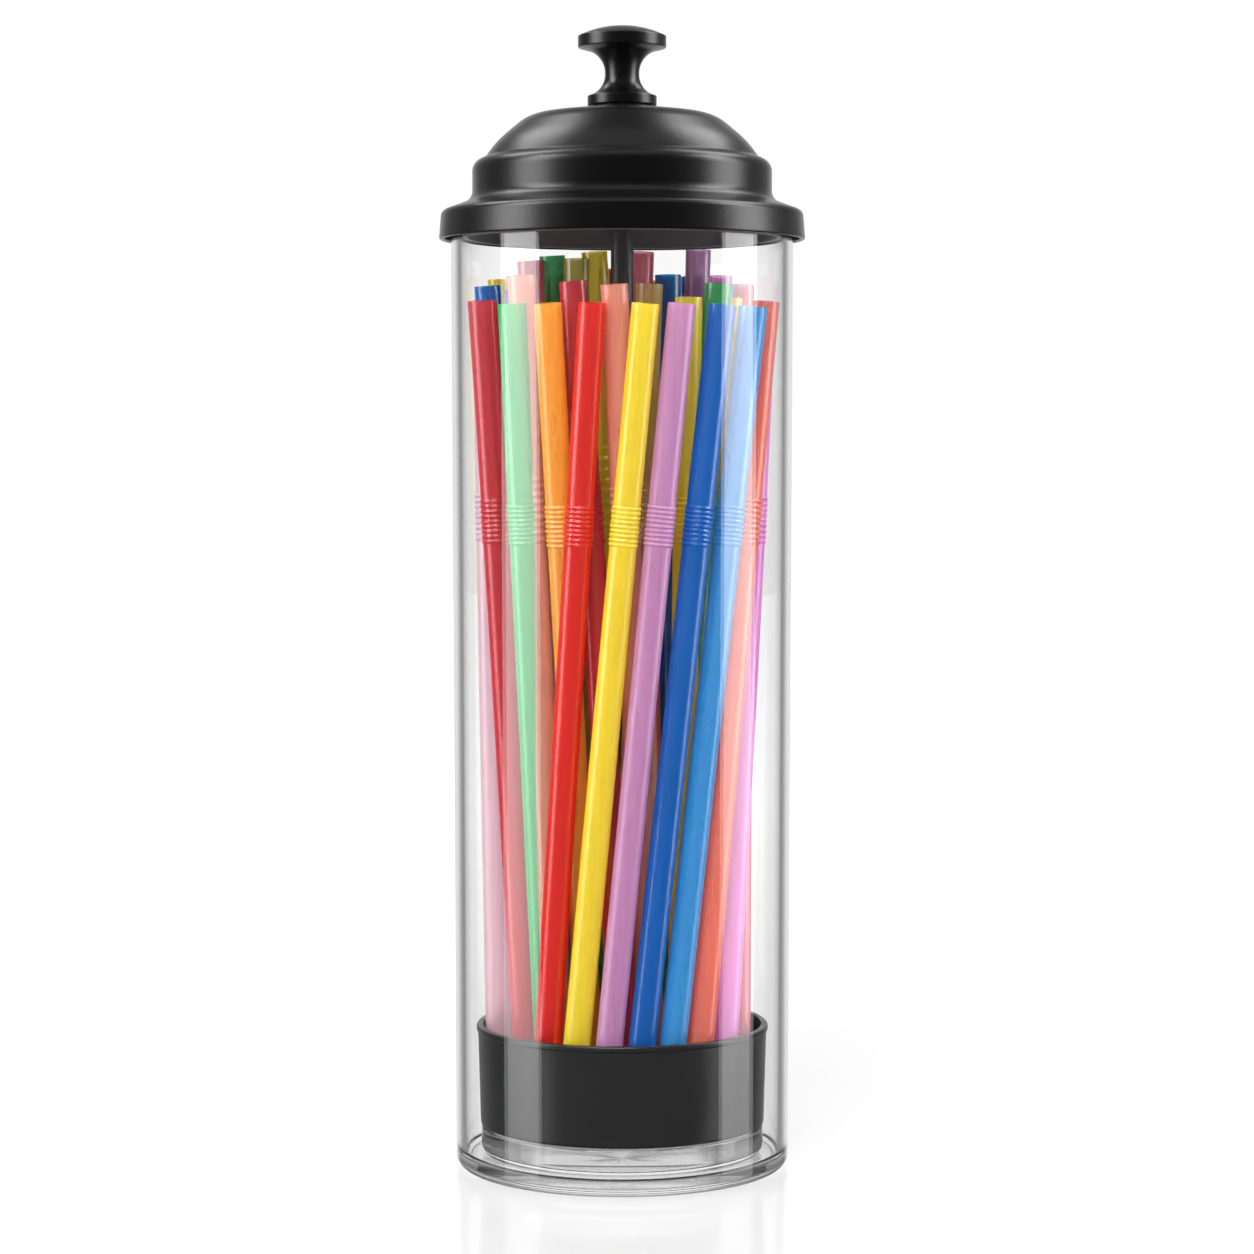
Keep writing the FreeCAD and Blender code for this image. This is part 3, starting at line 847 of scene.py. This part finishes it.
def nearest_points(a, b, c, d):
    """How far along a-b and c-d their nearest points lie, from 0 to 1."""
    u, v, w = b - a, d - c, a - c
    uu, uv, vv, uw, vw = u.dot(u), u.dot(v), v.dot(v), u.dot(w), v.dot(w)
    spread = uu * vv - uv * uv
    s = min(max((uv * vw - vv * uw) / spread, 0), 1) if spread > 1e-12 else 0.5
    t = min(max((uv * s + vw) / vv, 0), 1)
    s = min(max((uv * t - uw) / uu, 0), 1)
    return s, t


def shift(straw, along, move):
    """Slides and tips a straw, so that its point at a share of its length makes a sideways move."""
    weight = (1 - along) ** 2 + along ** 2
    flat = Vector((move.x, move.y, 0))
    straw[0] += flat * ((1 - along) / weight)
    straw[1] += flat * (along / weight)


def keep_between(straw, height, least, most):
    """Moves a straw so that its axis is between two radii at a height."""
    foot, top = straw
    along = (height - foot.z) / (top.z - foot.z)
    here = foot.lerp(top, along)
    radius = math.hypot(here.x, here.y)
    wanted = min(max(radius, least), most)
    shift(straw, along, Vector((here.x, here.y, 0)) * (wanted / radius - 1))


def part_straws(leaning, fixed, apart, limits):
    """Moves the leaning straws apart, between the fixed ones and within their limits of radius by height."""
    for _ in range(SETTLING_ROUNDS):
        for i, one in enumerate(leaning):
            for other in leaning[:i] + fixed:
                s, t = nearest_points(*one, *other)
                line = one[0].lerp(one[1], s) - other[0].lerp(other[1], t)
                if line.length < apart:
                    both = other in fixed
                    push = line * ((apart / line.length - 1) * (1.0 if both else 0.5))
                    shift(one, s, push)
                    if not both:
                        shift(other, t, -push)
        for one in leaning:
            for height, least, most in limits:
                keep_between(one, one[1].z if height is None else height, least, most)


class DISPENSER_OT_straws(bpy.types.Operator):
    """Stands the bendy straws in the cup, with pleated necks and open mouths"""
    bl_idname = "dispenser.straws"
    bl_label = "Bendy Straws"

    def execute(self, context):
        outer = sorted(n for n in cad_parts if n.startswith("straw_"))
        fixed = [self.axis_of(node) for node in outer]
        for node, (foot, top) in zip(outer, fixed):
            colour = node.split("_")[2]
            self.stand(f"bendy_{node}", PALER.get(node, colour), foot, top - foot, f"straw_{colour}", node)
        for i, ((colour, *_, pull), (foot, top)) in enumerate(zip(INNER_STRAWS, self.inner_axes(fixed))):
            slot = f"straw_{NEAREST_SLOT.get(colour, colour)}"
            self.stand(f"bendy_straw_{len(outer) + i + 1:02d}_{colour}", colour, foot, top - foot, slot)
        return {"FINISHED"}

    def axis_of(self, node):
        """The centres of a straw's two ends, from its mesh."""
        places = sorted({tuple(round(c, 6) for c in v.co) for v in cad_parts[node].data.vertices},
                        key=lambda p: p[2])
        half = len(places) // 2
        return [sum((Vector(p) for p in group), Vector()) / half for group in (places[:half], places[half:])]

    def inner_axes(self, fixed):
        """The two ends of each inner straw's axis, settled among the outer ones."""
        size, cup, rod = settings().straws, settings().cup, settings().rod
        lip_r, base, cup_top = box_of("cup")
        inside_top = lip_r - cup.lip_out - cup.wall
        foot_z = base + cup.floor + size.foot_gap
        rib_r = size.radius + size.rib_height
        most_foot = inside_top - cup.taper - size.radius - size.play
        most_top = box_of("jar")[0] - settings().jar.wall - rib_r - size.play
        leaning = [
            [polar(foot_azimuth, foot_share * most_foot, foot_z),
             polar(top_azimuth, top_share * most_top, foot_z + size.straw_length + pull * mm)]
            for _, top_azimuth, top_share, foot_azimuth, foot_share, pull in INNER_STRAWS
        ]
        past_rod = rod.radius + rib_r + size.play
        part_straws(leaning, fixed, 2 * rib_r + size.gap, [
            (None, past_rod, most_top),
            (cup_top, past_rod, inside_top - size.radius - size.play),
            (foot_z, cup.boss_radius + size.radius + size.play, most_foot),
        ])
        for foot, top in leaning:
            lean = (top - foot).normalized()
            foot.z += size.radius * math.sqrt(1 - lean.z ** 2)
            top.z = foot.z + lean.z * (top - foot).length
        return leaning

    def stand(self, name, colour, foot, axis, slot, *nodes):
        """Makes a straw from its foot along its axis. A longer axis than a closed straw's opens the neck."""
        size = settings().straws
        tree, names = straw_tree()
        total = axis.length
        neck_foot = size.straw_length - size.end_length - size.neck_length
        piece = shape(name, bpy.data.meshes.new(name), tree, names, {
            "Radius": size.radius, "Neck Foot": neck_foot, "Neck Length": total - size.end_length - neck_foot,
            "Length": total, "Ribs": size.ribs, "Rib Height": size.rib_height, "Sides": size.sides,
            "Material": straw_film(colour),
        }, size.wall)
        upright = axis.to_track_quat("Z", "Y").to_matrix().to_4x4()
        piece.data.transform(Matrix.Translation(foot) @ upright)
        seat(piece, "lid", slot, *nodes)


# The studio, in metres. A panel's or lamp's place is its middle.
BACK_PANELS = {"panel_left": (-0.60, 0.42, 1.16), "panel_right": (0.60, 0.42, 1.16)}
BACK_PANEL_HALF = 0.27
OVERHEAD_PLACE, OVERHEAD_WIDTH = (0, -0.35, 1.3), 0.9
FRONT_PLACE, FRONT_WIDTH = (-0.3, -1.5, 1.35), 1.2
TABLE_HALF, TABLE_COLOUR = 3.0, "#9c9c9c"
# Distances from the axis at which the table's glow begins and ends its climb.
NEAR_FLOOR, FAR_FLOOR = 0.12, 0.8
# Heights at which a strip light has its two levels.
STRIP_LOW, STRIP_HIGH = -0.12, 0.28
# How far back a reflected direction points, up to 1, where the room's climb to its back level begins and
# ends, and then the window's.
ROOM_START, ROOM_END = 0.2, 0.8
WINDOW_START, WINDOW_END = 0.86, 0.93


class DISPENSER_OT_stage(bpy.types.Operator):
    """Sets the floor, the backdrop, the lights and the camera"""
    bl_idname = "dispenser.stage"
    bl_label = "Studio"

    def execute(self, context):
        scene = context.scene
        scene.view_settings.view_transform = "Standard"
        scene.cycles.transparent_max_bounces = 64
        self.build_world(scene)
        self.lay_floor()
        stage = settings().stage
        self.hang_strip("strip_left", stage.strip_left)
        self.hang_strip("strip_right", stage.strip_right)
        for name, place in BACK_PANELS.items():
            self.hang_back_panel(name, Vector(place), BACK_PANEL_HALF)
        self.hang_softbox("overhead", OVERHEAD_PLACE, OVERHEAD_WIDTH, stage.top_level)
        front = self.hang_softbox("front_fill", FRONT_PLACE, FRONT_WIDTH, stage.front_level)
        front.visible_glossy = False
        self.place_camera(scene)
        return {"FINISHED"}

    def depth_over_none(self, tree, kind):
        """1 if the light's path to the camera has a bounce of a kind, and else 0."""
        path = add(tree, "LightPath")
        return add(tree, "Math", {0: path.outputs[f"{kind} Depth"], 1: 0.5}, operation="GREATER_THAN")

    def build_world(self, scene):
        """White to the camera and through clear pieces, and plain as light.

        Reflections show it darker towards the front, with a brighter window in the middle of the back.
        """
        stage = settings().stage
        world = bpy.data.worlds.new("studio")
        world.use_nodes = True
        tree = world.node_tree
        tree.nodes.clear()
        place = add(tree, "TexCoord")
        away = add(tree, "SeparateXYZ", {"Vector": place.outputs["Generated"]})
        mirrored = add(tree, "MapRange", {
            "Value": away.outputs["Y"], "From Min": ROOM_START, "From Max": ROOM_END,
            "To Min": stage.dark_level, "To Max": stage.back_level,
        }, interpolation_type="SMOOTHSTEP")
        window = add(tree, "MapRange", {
            "Value": away.outputs["Y"], "From Min": WINDOW_START, "From Max": WINDOW_END,
            "To Min": 0.0, "To Max": stage.window_level,
        }, interpolation_type="SMOOTHSTEP")
        reflected = add(tree, "Math", {0: mirrored, 1: window})
        clear = add(tree, "Math", {
            0: self.depth_over_none(tree, "Transmission"), 1: stage.made_up, 2: 1.0,
        }, operation="MULTIPLY_ADD")
        seen = add(tree, "Mix", {"Factor": self.depth_over_none(tree, "Glossy"), "A": clear, "B": reflected})
        level = add(tree, "Mix", {
            "Factor": self.depth_over_none(tree, "Diffuse"), "A": seen, "B": stage.ambient_level,
        })
        shine = add(tree, "Background", {"Color": (1, 1, 1, 1), "Strength": level})
        add(tree, "OutputWorld", {"Surface": shine})
        world.cycles.sampling_method = "NONE"
        scene.world = world

    def lay_floor(self):
        """A lacquered table, made white by a glow that only the camera sees. Reflections see through it.

        The glow grows with distance, where the lamps are weaker. Shadows still darken the table.
        """
        stage = settings().stage
        material, tree = new_material("lacquered_table_white")
        board = add(tree, "BsdfDiffuse", {"Color": rgba(linear(TABLE_COLOUR))})
        lacquer = add(tree, "BsdfAnisotropic", {"Color": (1, 1, 1, 1), "Roughness": 0.1})
        coated = add(tree, "MixShader", {0: stage.floor_gloss, 1: board, 2: lacquer})
        place = add(tree, "TexCoord")
        away = add(tree, "VectorMath", {0: place.outputs["Object"]}, operation="LENGTH")
        near_or_far = add(tree, "MapRange", {
            "Value": away.outputs["Value"], "From Min": NEAR_FLOOR, "From Max": FAR_FLOOR,
            "To Min": stage.floor_lift, "To Max": stage.far_lift,
        })
        level = add(tree, "Math", {
            0: self.depth_over_none(tree, "Transmission"), 1: stage.made_up, 2: near_or_far,
        }, operation="MULTIPLY_ADD")
        bounces = add(tree, "Math", {
            0: self.depth_over_none(tree, "Diffuse"), 1: self.depth_over_none(tree, "Glossy"),
        }, operation="MAXIMUM")
        lift = add(tree, "Mix", {"Factor": bounces, "A": level, "B": 0.0})
        fill = add(tree, "Emission", {"Strength": lift})
        lit = add(tree, "AddShader", {0: coated, 1: fill})
        unseen = add(tree, "BsdfTransparent")
        whole = add(tree, "MixShader", {0: self.depth_over_none(tree, "Glossy"), 1: lit, 2: unseen})
        add(tree, "OutputMaterial", {"Surface": whole})
        mesh = bpy.data.meshes.new("table_top")
        corners = [(x * TABLE_HALF, y * TABLE_HALF, 0) for x, y in ((-1, -1), (1, -1), (1, 1), (-1, 1))]
        mesh.from_pydata(corners, [], [(0, 1, 2, 3)])
        mesh.materials.append(material)
        place_object("table_top", mesh)

    def hang_strip(self, name, azimuth):
        """A tall strip light beside the jar, seen only in reflections. It is brighter higher up."""
        stage = settings().stage
        material, tree = new_material(f"{name}_diffuser")
        place = add(tree, "TexCoord")
        height = add(tree, "SeparateXYZ", {"Vector": place.outputs["Object"]})
        level = add(tree, "MapRange", {
            "Value": height.outputs["Z"], "From Min": STRIP_LOW, "From Max": STRIP_HIGH,
            "To Min": stage.strip_low_level, "To Max": stage.strip_level,
        }, clamp=False)
        glow = add(tree, "Emission", {"Strength": level})
        add(tree, "OutputMaterial", {"Surface": glow})
        middle = polar(math.degrees(azimuth), stage.strip_distance, 0)
        half = stage.strip_distance * math.tan(stage.strip_spread / 2)
        side = Vector((0, 0, 1)).cross(middle).normalized() * half
        # It goes on below the table, because reflections see through the table.
        low, high = Vector((0, 0, -stage.strip_height / 3)), Vector((0, 0, stage.strip_height))
        corners = [middle - side + low, middle + side + low, middle + side + high, middle - side + high]
        self.hang_panel(name, corners, material)

    def hang_back_panel(self, name, middle, half):
        """A square panel high up at the back, seen only in reflections, that lights the lid's slopes."""
        material, tree = new_material(f"{name}_diffuser")
        glow = add(tree, "Emission", {"Strength": settings().stage.panel_level})
        add(tree, "OutputMaterial", {"Surface": glow})
        side = Vector((0, 0, 1)).cross(middle).normalized() * half
        up = middle.cross(side).normalized() * half
        corners = [middle - side - up, middle + side - up, middle + side + up, middle - side + up]
        self.hang_panel(name, corners, material).visible_transmission = False

    def hang_panel(self, name, corners, material):
        """A flat light that only reflections show."""
        mesh = bpy.data.meshes.new(name)
        mesh.from_pydata(corners, [], [(0, 1, 2, 3)])
        mesh.materials.append(material)
        panel = place_object(name, mesh)
        panel.visible_camera = False
        panel.visible_diffuse = False
        panel.visible_shadow = False
        return panel

    def hang_softbox(self, name, place, width, level):
        """A square soft light, turned to the middle of the jar, that the camera doesn't see."""
        lamp = bpy.data.lights.new(name, "AREA")
        lamp.shape = "SQUARE"
        lamp.size = width
        lamp.energy = level * math.pi * width ** 2
        softbox = place_object(name, lamp)
        softbox.location = place
        middle = Vector((0, 0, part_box("jar")[1].z / 2))
        softbox.rotation_euler = (middle - softbox.location).to_track_quat("-Z", "Y").to_euler()
        softbox.visible_camera = False
        return softbox

    def place_camera(self, scene):
        """The photograph's camera, level from side to side and a little above the jar's middle."""
        stage = settings().stage
        lens = bpy.data.cameras.new("camera")
        lens.sensor_width = 36
        lens.lens = stage.focal_pixels / photo_width * lens.sensor_width
        camera = place_object("camera", lens)
        camera.location = (stage.camera_side, -stage.camera_distance, stage.camera_height)
        camera.rotation_euler = (math.pi / 2 - stage.camera_pitch, 0, 0)
        scene.camera = camera


STEPS = (
    DISPENSER_OT_jar, DISPENSER_OT_lid, DISPENSER_OT_knob, DISPENSER_OT_cup, DISPENSER_OT_rod,
    DISPENSER_OT_straws, DISPENSER_OT_stage,
)


class DISPENSER_PT_panel(bpy.types.Panel):
    """Lists the pieces of the dispenser and their sizes"""
    bl_idname = "DISPENSER_PT_panel"
    bl_label = "Straw Dispenser"
    bl_space_type = "VIEW_3D"
    bl_region_type = "UI"
    bl_category = "Straw Dispenser"

    def draw(self, context):
        for step in STEPS:
            self.layout.operator(step.bl_idname)
        for group in DispenserSettings.__annotations__:
            box = self.layout.box()
            box.label(text=group.replace("_", " ").title())
            values = getattr(settings(), group)
            for name in type(values).__annotations__:
                box.prop(values, name)


GROUPS = (
    JarSettings, LidSettings, KnobSettings, CupSettings, RodSettings, StrawSettings, StrawColours,
    FinishSettings, StageSettings, DispenserSettings,
)


def register():
    for kind in GROUPS + STEPS + (DISPENSER_PT_panel,):
        bpy.utils.register_class(kind)
    bpy.types.Scene.straw_dispenser = PointerProperty(type=DispenserSettings)


def unregister():
    del bpy.types.Scene.straw_dispenser
    for kind in reversed(GROUPS + STEPS + (DISPENSER_PT_panel,)):
        bpy.utils.unregister_class(kind)


def main():
    register()
    for step in STEPS:
        group, name = step.bl_idname.split(".")
        getattr(getattr(bpy.ops, group), name)()


if __name__ == "__main__":
    main()
